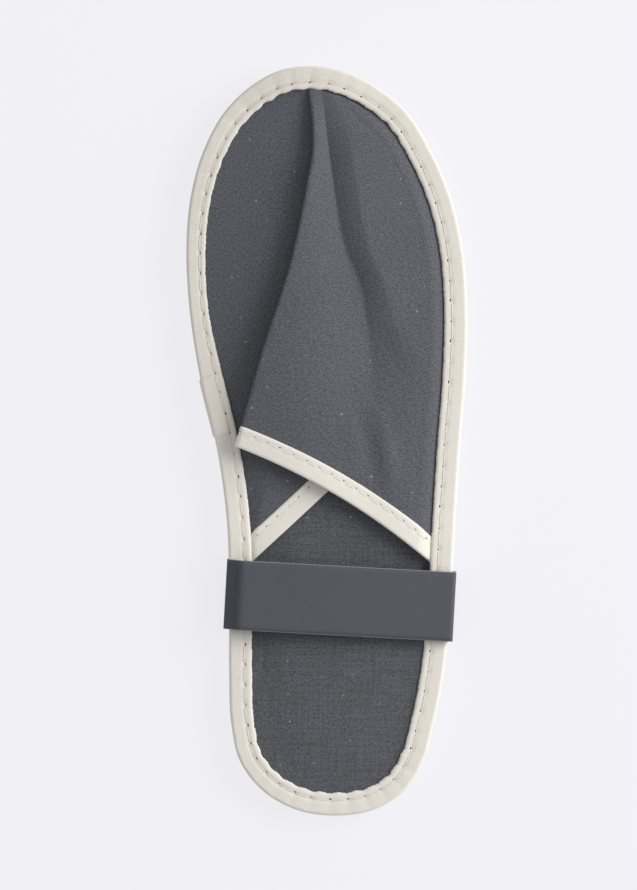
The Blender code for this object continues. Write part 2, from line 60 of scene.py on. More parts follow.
def noiseAlong(mark, length, line):
    # smooth noise along a path; each line number gives a noise of its own
    return noise.noise(Vector((mark / length, line, 0.0)))


def unit(vector):
    return vector / np.linalg.norm(vector)


def runAlong(points):
    # length of a path, from its start to each of its points
    steps = np.linalg.norm(np.diff(np.asarray(points), axis=0), axis=1)
    return np.concatenate([[0.0], np.cumsum(steps)])


def eased(u, start, end, leanStart, leanEnd):
    # from start to end as u goes from 0 to 1, leaving and arriving with the slopes given
    blend = u * u * (3.0 - 2.0 * u)
    return start + blend * (end - start) + u * (1.0 - u) * ((1.0 - u) * leanStart - u * leanEnd)


def zoneSteps(counts):
    # (zone, share) for each step of a section that runs through several zones
    steps = [(next(iter(counts)), 0.0)]
    for zone, count in counts.items():
        steps += [(zone, i / count) for i in range(1, count + 1)]
    return steps


# Sole edge, shared by every piece

tapeLow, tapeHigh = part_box("edge_binding")
sole = {
    "length": (tapeHigh.y - tapeLow.y) / mm,
    "ballWidth": (tapeHigh.x - tapeLow.x) / mm,
    "archHeight": 0.75,
    "archFromHeel": (36.0, 60.0, 102.0, 126.0),  # starts, full, still full, ends
    "stepsBetween": 14,
    # share of the length from the heel, then inner and outer side as shares of the ball width
    "sections": (
        (0.000, 0.032, 0.032),
        (0.010, -0.125, 0.181),
        (0.034, -0.231, 0.278),
        (0.072, -0.309, 0.342),
        (0.123, -0.341, 0.381),
        (0.189, -0.348, 0.415),
        (0.289, -0.348, 0.440),
        (0.389, -0.355, 0.456),
        (0.489, -0.391, 0.473),
        (0.588, -0.453, 0.493),
        (0.688, -0.492, 0.498),
        (0.755, -0.500, 0.484),
        (0.821, -0.487, 0.445),
        (0.888, -0.439, 0.370),
        (0.942, -0.359, 0.278),
        (0.977, -0.258, 0.157),
        (0.993, -0.178, 0.061),
        (1.000, -0.060, -0.060),
    ),
}


class SoleEdge:
    # a closed curve from the toe tip down the outer side to the heel and up the inner side
    def __init__(self):
        rows = sole["sections"]
        box = np.array((sole["ballWidth"], sole["length"]))
        outer = [(right, along) for along, left, right in reversed(rows)]
        inner = [(left, along) for along, left, right in rows[1:-1]]
        points = self.smoothed(np.array(outer + inner) * box)
        low, high = points.min(axis=0), points.max(axis=0)
        points = (points - (low + high) / 2.0) * (box / (high - low))
        self.heel = sole["stepsBetween"] * (len(outer) - 1)
        ahead = np.roll(points, -1, axis=0) - np.roll(points, 1, axis=0)
        ahead /= np.linalg.norm(ahead, axis=1)[:, None]
        inward = np.stack([ahead[:, 1], -ahead[:, 0]], axis=1)
        self.points = np.vstack([points, points[:1]])
        self.inward = np.vstack([inward, inward[:1]])
        self.marks = runAlong(self.points)
        self.length = self.marks[-1]

    @staticmethod
    def smoothed(corners):
        chords = np.roll(corners, -1, axis=0) - corners
        spans = np.linalg.norm(chords, axis=1)[:, None]
        slopes = chords / spans
        before, spanBefore = np.roll(slopes, 1, axis=0), np.roll(spans, 1, axis=0)
        tangents = (before * spans + slopes * spanBefore) / (spans + spanBefore)
        steps = sole["stepsBetween"]
        drawn = []
        for i in range(len(corners)):
            j = (i + 1) % len(corners)
            ends = corners[i], corners[j], spans[i] * tangents[i], spans[i] * tangents[j]
            drawn += [eased(k / steps, *ends) for k in range(steps)]
        return np.array(drawn)

    def read(self, table, mark):
        mark %= self.length
        return np.array([np.interp(mark, self.marks, table[:, axis]) for axis in (0, 1)])

    def at(self, mark, inset=0.0):
        return self.read(self.points, mark) + inset * self.read(self.inward, mark)

    def bendAt(self, mark, reach=7.0):
        # turn of the edge for each millimetre
        before, after = self.read(self.inward, mark - reach), self.read(self.inward, mark + reach)
        return float(np.linalg.norm(after - before)) / (2.0 * reach)

    def markFromHeel(self, distance, side):
        ys = self.points[:, 1] + sole["length"] / 2.0
        if side == "outer":
            return float(np.interp(-distance, -ys[: self.heel], self.marks[: self.heel]))
        return float(np.interp(distance, ys[self.heel :], self.marks[self.heel :]))

    def gapTo(self, side, place):
        # from a place to the nearest point of one side
        points = self.points[: self.heel + 1] if side == "outer" else self.points[self.heel :]
        return math.sqrt(float(((points - place) ** 2).sum(axis=1).min()))


edge = SoleEdge()


def arched(x, y, z):
    # lifts a point by the sole's low arch, and turns millimetres into metres
    upStart, upEnd, downStart, downEnd = (d - sole["length"] / 2.0 for d in sole["archFromHeel"])
    z += sole["archHeight"] * ramp(y, upStart, upEnd) * (1.0 - ramp(y, downStart, downEnd))
    return Vector((x, y, z)) * mm


# Mesh helpers

def mappedGrid(columns, rows, place, flat, closed=False):
    # bmesh's own grid, each point carried to place(column, row), with flat(column, row) as UV
    bm = bmesh.new()
    bmesh.ops.create_grid(bm, x_segments=columns, y_segments=rows, size=0.5)
    uvLayer = bm.loops.layers.uv.new("flat")
    spots = {}
    for vert in bm.verts:
        spots[vert] = round((vert.co.x + 0.5) * columns), round((vert.co.y + 0.5) * rows)
    for face in bm.faces:
        for loop in face.loops:
            loop[uvLayer].uv = flat(*spots[loop.vert])
    for vert, spot in spots.items():
        vert.co = place(*spot)
    if closed:
        bmesh.ops.remove_doubles(bm, verts=bm.verts, dist=0.00001)
    return bm


def giveBody(bm, height):
    # extrudes the faces of a sheet of the sole to a level that follows the arch
    made = bmesh.ops.extrude_face_region(bm, geom=bm.faces, use_keep_orig=True)
    for vert in made["geom"]:
        if isinstance(vert, bmesh.types.BMVert):
            vert.co = arched(vert.co.x / mm, vert.co.y / mm, height)
    bmesh.ops.recalc_face_normals(bm, faces=bm.faces)


def finishPiece(bm, name, looks, node=None):
    mesh = bpy.data.meshes.new(name)
    bm.to_mesh(mesh)
    bm.free()
    mesh.shade_smooth()
    for look in looks:
        mesh.materials.append(look)
    piece = bpy.data.objects.new(name, mesh)
    bpy.context.scene.collection.objects.link(piece)
    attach(piece, "root")
    if node:
        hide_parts(node)
    print(name, "made with", len(mesh.polygons), "faces")
    return piece


def giveWall(piece, thickness, offset, rim=0):
    wall = piece.modifiers.new("wall", "SOLIDIFY")
    wall.thickness = thickness * mm
    wall.offset = offset  # -1 puts the wall behind the faces, 0 on both sides
    wall.material_offset_rim = rim


# Node materials

class Wire:
    # a socket in an expression: arithmetic on it adds Math nodes
    def __init__(self, look, socket):
        self.look, self.socket = look, socket

    def math(self, operation, *terms):
        return self.look.node("ShaderNodeMath", {"operation": operation}, dict(enumerate(terms)))

    def __add__(self, other):
        return self.math("ADD", self, other)

    def __radd__(self, other):
        return self.math("ADD", other, self)

    def __sub__(self, other):
        return self.math("SUBTRACT", self, other)

    def __rsub__(self, other):
        return self.math("SUBTRACT", other, self)

    def __mul__(self, other):
        return self.math("MULTIPLY", self, other)

    def __rmul__(self, other):
        return self.math("MULTIPLY", other, self)

    def __truediv__(self, other):
        return self.math("DIVIDE", self, other)

    def __pow__(self, other):
        return self.math("POWER", self, other)

    def sine(self):
        return self.math("SINE", self)

    def part(self):
        return self.math("FRACT", self)

    def whole(self):
        return self.math("FLOOR", self)

    def size(self):
        return self.math("ABSOLUTE", self)

    def above(self, limit):
        return self.math("GREATER_THAN", self, limit)

    def step(self, start, end):
        # smooth mask, 0 at start and 1 at end
        settings = {"interpolation_type": "SMOOTHSTEP"}
        return self.look.node("ShaderNodeMapRange", settings, {"Value": self, 1: start, 2: end})


class Look:
    # a material with one Principled shader; fixed values go straight on its sockets
    def __init__(self, name, **fixed):
        self.material = bpy.data.materials.new(name)
        self.material.use_nodes = True
        self.tree = self.material.node_tree
        self.shader = self.tree.nodes["Principled BSDF"]
        for key, value in fixed.items():
            self.shader.inputs[key.replace("_", " ")].default_value = value

    def node(self, kind, settings=None, sockets=None, out=0):
        made = self.tree.nodes.new(kind)
        for key, value in (settings or {}).items():
            setattr(made, key, value)
        for key, value in (sockets or {}).items():
            self.feed(made.inputs[key], value)
        return Wire(self, made.outputs[out])

    def feed(self, socket, value):
        if isinstance(value, Wire):
            self.tree.links.new(value.socket, socket)
        else:
            socket.default_value = value

    def objectPlace(self):
        return self.node("ShaderNodeTexCoord", out="Object")

    def flatPlace(self):
        return self.node("ShaderNodeUVMap", {"uv_map": "flat"})

    def axes(self, place):
        split = self.node("ShaderNodeSeparateXYZ", None, {0: place})
        return [Wire(self, socket) for socket in split.socket.node.outputs]

    def grain(self, place, scale, detail=2.0, rough=0.5):
        # noise with this many features to the metre, or with a number for each of X, Y and Z
        scale = scale if isinstance(scale, tuple) else (scale, scale, scale)
        mapped = self.node("ShaderNodeMapping", None, {"Vector": place, "Scale": scale})
        sockets = {"Vector": mapped, "Scale": 1.0, "Detail": detail, "Roughness": rough}
        return self.node("ShaderNodeTexNoise", None, sockets)

    def blend(self, share, first, second):
        return self.node("ShaderNodeMix", {"data_type": "RGBA"}, {0: share, 6: first, 7: second}, out=2)

    def finish(self, colour, height, depth, strength=1.0, roughness=None):
        self.feed(self.shader.inputs["Base Color"], colour)
        sockets = {"Height": height, "Distance": depth * mm, "Strength": strength}
        self.feed(self.shader.inputs["Normal"], self.node("ShaderNodeBump", None, sockets))
        if roughness is not None:
            self.feed(self.shader.inputs["Roughness"], roughness)
        return self.material


def tint(red, green, blue, gain=1.0):
    # screen colour of 0 to 255 to the linear colour that sockets take
    shares = [c / 255.0 for c in (red, green, blue)]
    linear = [c / 12.92 if c <= 0.04045 else ((c + 0.055) / 1.055) ** 2.4 for c in shares]
    return (*[c * gain for c in linear], 1.0)


def tintPair(tone, contrast):
    # the darkest and the lightest colour of an uneven surface
    return tint(*tone, gain=1.0 - contrast), tint(*tone, gain=1.0 + contrast)


slateLook = {
    # lines are the long slubs and threads the short ones, specks the share of cells that have one; the
    # inner shade is painted shade that darkens the cloth on the inner side of the crease
    "upper": {
        "pitch": 0.5, "tone": (87, 88, 93), "lines": 0.2, "threads": 2.0, "fuzz": 5.0,
        "specks": 0.42, "innerPaintedShade": 0.04,
    },
    "insole": {
        "pitch": 0.72, "tone": (84, 85, 89), "lines": 0.6, "threads": 1.8, "fuzz": 3.0,
        "specks": 0.6, "innerPaintedShade": 0.0,
    },
    "contrast": 0.34,  # of the darkest and lightest threads
    "wanderGrain": 60.0,  # features to the metre, as in the next four
    "slubGrain": 55.0,  # along a slub
    "threadGrain": (2600.0, 800.0),  # across and along a thread
    "fuzzGrain": 2400.0,
    "mottleGrain": 34.0,
    "bumpDepth": 0.12,
    "speckTone": (172, 158, 146),
    "speckCell": 13.0,  # one speck at most in each cell of this size
    "speckRadius": 0.3,
}


def slateCloth(name, use, place):
    # slubby linen: long uneven threads both ways, plain weave, a few pale specks
    kind = slateLook[use]
    look = Look(name, Roughness=0.92, Specular_IOR_Level=0.22, Sheen_Weight=0.12, Sheen_Roughness=0.6)
    where = look.flatPlace() if place == "flat" else look.objectPlace()
    x, y = look.axes(where)[:2]

    turns = 2.0 * math.pi / (kind["pitch"] * mm)
    wander = look.grain(where, slateLook["wanderGrain"]) * 0.9
    weave = (x * turns + wander).sine() * (y * turns + wander).sine()
    fine, slub = 1000.0 / kind["pitch"], slateLook["slubGrain"]
    warpSlubs = look.grain(where, (fine, slub, 1.0), detail=1.0)
    weftSlubs = look.grain(where, (slub, fine, 1.0), detail=1.0)
    lines = (warpSlubs + weftSlubs * 1.25 - 1.125) * kind["lines"]
    across, along = slateLook["threadGrain"]
    warpThreads = look.grain(where, (across, along, 1.0), detail=1.0)
    weftThreads = look.grain(where, (along, across, 1.0), detail=1.0)
    threads = warpThreads + weftThreads - 1.0
    fuzz = look.grain(where, slateLook["fuzzGrain"], detail=2.0, rough=0.6)
    mottle = look.grain(where, slateLook["mottleGrain"], detail=3.0)

    tone = lines * 1.5 + threads * kind["threads"] + (fuzz - 0.5) * kind["fuzz"]
    tone = tone + weave * 0.1 + (mottle - 0.5) * 0.3 + 0.5
    # painted shade: the cloth on the inner side of the crease is made darker
    tone = tone - (1.0 - x.step(-3.0 * mm, 0.0)) * kind["innerPaintedShade"]  # inner side of the crease
    colour = look.blend(tone.step(-0.1, 1.1), *tintPair(kind["tone"], slateLook["contrast"]))

    sockets = {"Vector": where, "Scale": 1000.0 / slateLook["speckCell"]}
    cells = look.node("ShaderNodeTexVoronoi", {"voronoi_dimensions": "2D"}, sockets)
    chance = look.axes(Wire(look, cells.socket.node.outputs["Color"]))
    radius = slateLook["speckRadius"] / slateLook["speckCell"]
    speck = cells.step(radius * 1.4, radius * 0.6) * chance[0].above(1.0 - kind["specks"])
    colour = look.blend(speck * chance[1], colour, tint(*slateLook["speckTone"]))
    height = weave * 0.35 + lines + threads * 0.5 + fuzz * 0.4
    return look.finish(colour, height, slateLook["bumpDepth"], 0.6)


creamLook = {
    "tone": (226, 221, 210),
    "shade": (182, 172, 158),
    "ribPitch": 0.78,
    # painted shade that darkens the tape towards the toe, and painted light that brightens it towards the
    # outer side
    "toePaintedShade": 0.24,
    "toePaintedShadeFrom": (-60.0, 110.0),  # Y at which it starts and is full
    "outerPaintedLight": 0.08,
    "outerPaintedLightFrom": (-40.0, 40.0),  # X at which it starts and is full
    # painted shade in the needle holes
    "holePaintedShadeTone": (62, 54, 48),
    "holeScatter": (0.8, 0.3),  # along and across the seam
    "threadTones": ((205, 197, 183), (232, 226, 214)),
}


def creamTape(name, pitch, sizes):
    # cotton tape: fine ribs across it, painted shade in its stitched groove and in its small needle holes.
    # Its UV runs in stitches along the tape, and in metres from its inner edge across it.
    look = Look(name, Roughness=0.88, Specular_IOR_Level=0.25, Sheen_Weight=0.15, Sheen_Roughness=0.5)
    where = look.objectPlace()
    x, y = look.axes(where)[:2]
    along, across = look.axes(look.flatPlace())[:2]
    across = across / mm
    line = sizes["stitchInset"]

    wobble = look.grain(where, 220.0) * 2.4
    ribs = (along * (2.0 * math.pi * pitch / creamLook["ribPitch"]) + wobble).sine()
    ribs = ribs * across.step(line + 0.3, line + 1.0)
    fuzz = look.grain(where, 1300.0, detail=3.0, rough=0.65)
    stain = look.grain(where, 45.0, detail=2.0)
    # painted shade along the stitched groove
    groove = 1.0 - (across - line).size().step(0.15, 1.3)
    # painted shade towards the toe and painted light towards the outer side, as gradients along Y and X
    paintedLightAndShade = (y / mm).step(*creamLook["toePaintedShadeFrom"]) * creamLook["toePaintedShade"]
    paintedLightAndShade = paintedLightAndShade - (x / mm).step(*creamLook["outerPaintedLightFrom"]) * creamLook["outerPaintedLight"]
    shade = groove * sizes["groovePaintedShade"] + (stain - 0.5) * 0.35 + (fuzz - 0.5) * 0.42
    shade = shade + ribs * 0.12 + paintedLightAndShade + 0.06
    colour = look.blend(shade.step(0.0, 1.0), tint(*creamLook["tone"]), tint(*creamLook["shade"]))

    number = (along + 0.5).whole()
    random = look.node("ShaderNodeTexWhiteNoise", {"noise_dimensions": "1D"}, {"W": number})
    holeLong, holeWide = sizes["holeSize"]
    offBeat = ((along + 0.5).part() - 0.5) * pitch + (random - 0.5) * creamLook["holeScatter"][0]
    offLine = across - line + (random - 0.5) * creamLook["holeScatter"][1]
    away = ((offBeat / holeLong) ** 2.0 + (offLine / holeWide) ** 2.0) ** 0.5
    # the needle holes are painted shade in the colour, and dents in the bump
    hole = (1.0 - away.step(0.45, 1.0)) * (random * 0.7 + 0.45)
    colour = look.blend(hole, colour, tint(*creamLook["holePaintedShadeTone"]))
    height = ribs * 0.3 + fuzz * 0.9 - hole * 2.0
    return look.finish(colour, height, 0.1, 0.55)


def creamThread():
    look = Look("creamThread", Roughness=0.8, Specular_IOR_Level=0.3)
    twist = look.grain(look.objectPlace(), 900.0)
    dark, light = (tint(*tone) for tone in creamLook["threadTones"])
    return look.finish(look.blend(twist, dark, light), twist, 0.08)


paperLook = {
    "tone": (84, 85, 91),
    "contrast": 0.1,
    "core": (170, 164, 158),
    "edge": (150, 146, 148),  # the rubbed rim of its cut edges
    "edgeWidth": 0.4,
    "edgeRub": 0.6,
    # painted shade on the part of the paper that turns down on the inner side
    "foldFrom": (79.0, 84.0),  # along the paper, where it turns down on the inner side
    "foldPaintedShade": 0.42,
    "bumpDepth": 0.03,
}


def slatePaper():
    look = Look("slatePaper", Specular_IOR_Level=0.12)
    fibres = look.grain(look.objectPlace(), (900.0, 260.0, 900.0), detail=4.0, rough=0.6)
    cloud = look.grain(look.objectPlace(), 40.0)
    tone = (fibres - 0.5) * 0.5 + (cloud - 0.5) * 0.5 + 0.5
    colour = look.blend(tone.step(0.0, 1.0), *tintPair(paperLook["tone"], paperLook["contrast"]))
    around, across = look.axes(look.flatPlace())[:2]
    # painted shade: the paper is made darker where it turns down on the inner side
    fold = (around / mm).step(*paperLook["foldFrom"]) * paperLook["foldPaintedShade"]
    colour = look.blend(fold, colour, tint(*paperLook["tone"], gain=0.4))
    rim, edgeWidth = 0.5 * paperBand["width"], paperLook["edgeWidth"]
    rubbed = (across / mm).size().step(rim - edgeWidth, rim - 0.5 * edgeWidth)
    colour = look.blend(rubbed * paperLook["edgeRub"], colour, tint(*paperLook["edge"]))
    return look.finish(colour, fibres, paperLook["bumpDepth"], 0.5, fibres * 0.2 + 0.45)


def paperCore():
    look = Look("paperCore", Roughness=0.8)
    fibres = look.grain(look.objectPlace(), 2500.0)
    colour = look.blend(fibres, tint(*paperLook["tone"]), tint(*paperLook["core"]))
    return look.finish(colour, fibres, paperLook["bumpDepth"])


foamLook = {
    "tone": (214, 210, 202),
    "poreTone": (184, 179, 170),
    "pores": 900.0,  # to the metre
}


def paleFoam():
    # closed-cell foam sheet: fine pores, a faint cast grain
    look = Look("paleFoam", Roughness=0.85, Specular_IOR_Level=0.3)
    where = look.objectPlace()
    pores = look.node("ShaderNodeTexVoronoi", None, {"Vector": where, "Scale": foamLook["pores"]})
    cloud = look.grain(where, 60.0)
    tone = pores * 0.6 + (cloud - 0.5) * 0.6 + 0.2
    colour = look.blend(tone.step(0.0, 1.0), tint(*foamLook["tone"]), tint(*foamLook["poreTone"]))
    return look.finish(colour, pores, 0.12, 0.6)


# Sole: foam sheet below, padded insole above

outsoleSizes = {
    "rim": 1.2,  # height of its underside where the tape's lower leg lies
    "top": 4.0,
    "treadInset": (9.1, 10.9),  # where the tread steps down to the floor
    "inset": 1.0,
    "alongSteps": 150,
    "acrossSteps": 60,
}
insoleSizes = {
    "rimTop": 6.3,
    "bottom": 4.3,
    "inset": 1.4,
    "crown": 0.9,
    "crownInset": (10.0, 27.0),
    "dents": 0.14,  # soft unevenness of the padding
    "dentLengths": (17.0, 23.0),  # across and along the sole
    "dentInset": (9.0, 14.0),
    "alongSteps": 190,
    "acrossSteps": 84,
    "fill": 0.35,
}


def rung(along, across, inset):
    # a point on the rung between the two sides of the sole, heel at along 0, and its gap to the edge
    heel = edge.marks[edge.heel]
    outer = edge.at(heel * (1.0 - along), inset)
    inner = edge.at(heel + (edge.length - heel) * along, inset)
    place = inner + (outer - inner) * across
    return place, min(edge.gapTo("outer", place), edge.gapTo("inner", place))


def soleSheet(sizes, heightAt, bodyTo):
    # a sheet over the whole sole with its own height at each place, and its body to a second level
    columns, rows = sizes["acrossSteps"], sizes["alongSteps"]

    def place(column, row):
        spot, gap = rung(row / rows, column / columns, sizes["inset"])
        return arched(*spot, heightAt(spot, gap))

    def flat(column, row):
        return column / columns, row / rows

    bm = mappedGrid(columns, rows, place, flat, closed=True)
    giveBody(bm, bodyTo)
    return bm


def makeOutsole(look):
    def underside(spot, gap):
        return outsoleSizes["rim"] * (1.0 - ramp(gap, *outsoleSizes["treadInset"]))

    bm = soleSheet(outsoleSizes, underside, outsoleSizes["top"])
    finishPiece(bm, "outsoleSheet", [look], "outsole")


def makeInsole(look):
    sizes = insoleSizes

    def padding(spot, gap):
        wide, long = sizes["dentLengths"]
        dent = sizes["dents"] * noise.noise(Vector((spot[0] / wide, spot[1] / long, 0.0)))
        height = sizes["rimTop"] + sizes["crown"] * ramp(gap, *sizes["crownInset"])
        return height + dent * ramp(gap, *sizes["dentInset"])

    bm = soleSheet(sizes, padding, sizes["bottom"])
    piece = finishPiece(bm, "insolePad", [look], "insole")


# Upper: one cloth with a pleat that folds over itself from the toe to the collar

upperSizes = {
    "wall": 0.7,
    "sewnEdge": 7.2,  # height of the cloth's middle where it is sewn down
    "sewnInset": 3.2,
    "climbInset": 8.8,  # from the sole's edge, where the cloth comes out of the tape
    "pleatMark": 1.5,  # from the toe tip, along the edge
    "collarFromHeel": 91.0,
    "throat": (17.7, -1.7),  # where the collar crosses the hidden crease
    "toeLift": 1.6,  # of the sewn edge, over the pleat's layers
    "toeLiftRun": (6.0, 36.0),  # along the edge from the pleat, full and ended
    "collarLift": 0.8,
    "collarLiftShares": (0.90, 0.97),
    "panelRound": 0.3,  # the panel rises from the tape in a straight line at 0, as a dome at 1
    "flapBow": 4.1,
    "stripFall": (1.3, 3.2),  # powers by which the strip comes down, at the toe and at the collar
    "stripTurn": (0.45, 0.72),  # shares between which the first gives way to the second
    "shoulderReach": 5.5,  # from the tape, how soon the outer side reaches its shoulder
    "steepest": 1.5,  # rise over run, of the cloth beside the tape
    "reliefInset": 8.0,  # from the tape, where the flap's creases are full
    "reliefOnStrip": 0.5,  # share of the strip's fall at which they are full
    # bottom of the valley between the strip beside the fold and the flap's outer side
    "valley": (
        (-3.0, 137.0), (-1.3, 125.7), (-0.4, 117.8), (1.2, 104.8), (2.8, 94.0), (4.9, 80.6), (7.6, 69.8),
        (11.6, 61.2), (14.0, 52.3), (15.6, 41.5), (17.2, 28.0), (19.0, 10.0), (20.0, -40.0),
    ),
    # share of the way to the collar, depth of the pleat, radius of its bends, rise of its hidden
    # crease, rise of its fold above the valley, bulge of the panel beside the fold, heights of the
    # outer shoulder and of the crest beyond the valley, and how wide the valley's outer side is
    "pleat": (
        (0.000, 2.0, 0.42, 0.0, 0.0, 0.5, 0.3, 2.2, 4.6),
        (0.046, 2.2, 0.45, 0.1, 0.6, 0.7, 0.6, 2.5, 5.2),
        (0.090, 2.3, 0.48, 0.3, 1.8, 0.9, 1.2, 2.9, 6.5),
        (0.180, 3.5, 0.55, 0.7, 3.4, 1.3, 2.4, 5.2, 8.2),
        (0.300, 8.5, 0.55, 0.9, 5.2, 2.0, 2.6, 6.8, 8.6),
        (0.500, 18.7, 0.55, 1.2, 6.2, 2.6, 2.9, 7.6, 8.6),
        (0.750, 35.15, 0.60, 1.0, 6.8, 2.6, 2.8, 5.8, 14.0),
        (1.000, 50.2, 0.90, 1.2, 2.8, 1.4, 2.8, 4.5, 15.0),
    ),
    "columns": {"panel": 48, "crease": 8, "underlay": 20, "fold": 8, "flap": 84},
    "rows": 150,
    "crowdedRows": 0.35,  # 0 spaces the rows evenly, 1 crowds them at the toe and at the collar
}
pleatColumns = ("share", "depth", "bend", "creaseRise", "foldRise", "bulge", "shoulder", "crest", "wall")

# soft troughs and ridges of the cloth: a route of (x, y, height) towards the heel or the outer side,
# and the width of its slopes, inner and outer, or heel and toe where the route runs across
flapRelief = (
    {"route": ((17.0, 46.0, 0.0), (21.0, 38.0, -0.8), (26.0, 28.0, -1.1), (29.0, 18.0, -0.6),
               (31.0, 8.0, 0.0)), "widths": (10.0, 6.0)},
    {"route": ((11.5, 13.0, 0.0), (14.0, 2.0, -0.1), (16.5, -12.0, -0.1)), "widths": (2.4, 3.4)},
    {"route": ((7.5, 13.0, 0.0), (10.0, 2.0, 0.6), (12.0, -11.0, 0.2)), "widths": (4.0, 3.0)},
    {"route": ((15.0, 24.0, 0.0), (19.0, 8.0, 1.1), (22.0, -4.0, 1.4), (24.0, -13.0, 0.7)),
     "widths": (5.0, 4.2)},
    {"route": ((8.0, 46.0, 0.0), (10.0, 34.0, 0.5), (11.0, 20.0, 0.0)), "widths": (8.0, 5.0)},
)
panelRelief = (
    {"route": ((-10.5, 130.0, -0.5), (-8.6, 121.0, -0.2)), "widths": (2.6, 2.6)},
    {"route": ((-27.0, 114.0, 0.0), (-24.0, 104.0, 0.8), (-28.0, 88.0, 0.0)), "widths": (7.0, 6.0)},
    {"route": ((-30.0, 66.0, 0.0), (-33.0, 52.0, -0.4), (-35.0, 40.0, 0.0)), "widths": (6.0, 6.0)},
    {"route": ((-36.0, 100.0, 0.0), (-28.0, 99.0, -0.5), (-17.0, 103.0, 0.0)), "widths": (5.0, 4.0)},
    {"route": ((-34.0, 84.0, 0.0), (-26.0, 79.0, 0.5), (-18.0, 70.0, 0.0)), "widths": (4.0, 5.0)},
    {"route": ((-36.0, 62.0, 0.0), (-29.0, 60.0, -0.4), (-20.0, 53.0, 0.0)), "widths": (4.0, 4.0)},
)

outerRun = edge.markFromHeel(upperSizes["collarFromHeel"], "outer") - upperSizes["pleatMark"]
innerRun = edge.length - edge.markFromHeel(upperSizes["collarFromHeel"], "inner") + upperSizes["pleatMark"]
toeApex = edge.at(upperSizes["pleatMark"], upperSizes["sewnInset"])


def alongPleat(column, share):
    # a column of the pleat's table between its rows, with no overshoot
    index = pleatColumns.index(column)
    xs = [row[0] for row in upperSizes["pleat"]]
    ys = [row[index] for row in upperSizes["pleat"]]
    slopes = [(b - a) / (q - p) for a, b, p, q in zip(ys, ys[1:], xs, xs[1:])]
    inner = [2.0 * a * b / (a + b) if a * b > 0.0 else 0.0 for a, b in zip(slopes, slopes[1:])]
    tangents = [slopes[0], *inner, slopes[-1]]
    i = next((k for k in range(len(xs) - 2) if share < xs[k + 1]), len(xs) - 2)
    h = xs[i + 1] - xs[i]
    return eased((share - xs[i]) / h, ys[i], ys[i + 1], h * tangents[i], h * tangents[i + 1])


def creaseAt(share):
    return toeApex + share * (np.array(upperSizes["throat"]) - toeApex)


def foldAt(share):
    return creaseAt(share) - (alongPleat("depth", share), 0.0)


def sideways(line, share, hair=0.004):
    # direction at right angles to a line, towards the outer side
    x, y = line(min(1.0, share + hair)) - line(max(0.0, share - hair))
    return np.array((-y, x)) / math.hypot(x, y)


pleatRows = {}  # sections already worked out, by their share of the way to the collar


def pleatRow(share):
    # the places and heights that one section of the upper runs through
    if share not in pleatRows:
        sizes = upperSizes
        pleat = {column: alongPleat(column, share) for column in pleatColumns[1:]}
        edgeZ = sizes["sewnEdge"] + sizes["collarLift"] * ramp(share, *sizes["collarLiftShares"])
        edgeZ += sizes["toeLift"] * (1.0 - ramp(share * outerRun, *sizes["toeLiftRun"]))
        creaseZ = sizes["sewnEdge"] + pleat["creaseRise"]
        valleyZ = creaseZ + 4.0 * pleat["bend"]  # the height of two bends
        pleatRows[share] = {
            "innerEnd": edge.at(sizes["pleatMark"] - share * innerRun, sizes["sewnInset"]),
            "crease": creaseAt(share),
            "fold": foldAt(share),
            "outerEnd": edge.at(sizes["pleatMark"] + share * outerRun, sizes["sewnInset"]),
            "edgeZ": edgeZ,
            "creaseZ": creaseZ,
            "valleyZ": valleyZ,
            "foldZ": valleyZ + pleat["foldRise"],
            "bulgeZ": sizes["sewnEdge"] + pleat["bulge"],
            "crestZ": sizes["sewnEdge"] + pleat["crest"],
            "shoulder": pleat["shoulder"],
            "wall": pleat["wall"],
            "bend": pleat["bend"],
            "creaseSide": sideways(creaseAt, share),
            "foldSide": sideways(foldAt, share),
        }
    return pleatRows[share]


def fromTape(side, place):
    # how far a place is inside the tape of one side
    return max(0.0, edge.gapTo(side, place) - upperSizes["climbInset"])


def valleyAcross(y):
    xs, ys = zip(*reversed(upperSizes["valley"]))
    return float(np.interp(y, ys, xs))


def dome(way):
    return math.sin(0.5 * math.pi * min(1.0, way))


def reliefAt(rows, place):
    # what the troughs and ridges of a table add to the height at a place
    x, y = float(place[0]), float(place[1])
    total = 0.0
    for row in rows:
        nearest = (1e9, 0.0, 1.0)
        for (x0, y0, z0), (x1, y1, z1) in zip(row["route"], row["route"][1:]):
            dx, dy = x1 - x0, y1 - y0
            share = min(1.0, max(0.0, ((x - x0) * dx + (y - y0) * dy) / (dx * dx + dy * dy)))
            gap = math.hypot(x - x0 - share * dx, y - y0 - share * dy)
            side = dx * (y - y0) - dy * (x - x0)  # above 0 on the outer side, or the toe's
            nearest = min(nearest, (gap, z0 + (z1 - z0) * share, side))
        gap, height, side = nearest
        width = row["widths"][1 if side > 0.0 else 0]
        total += height * swell(gap, width)
    return total


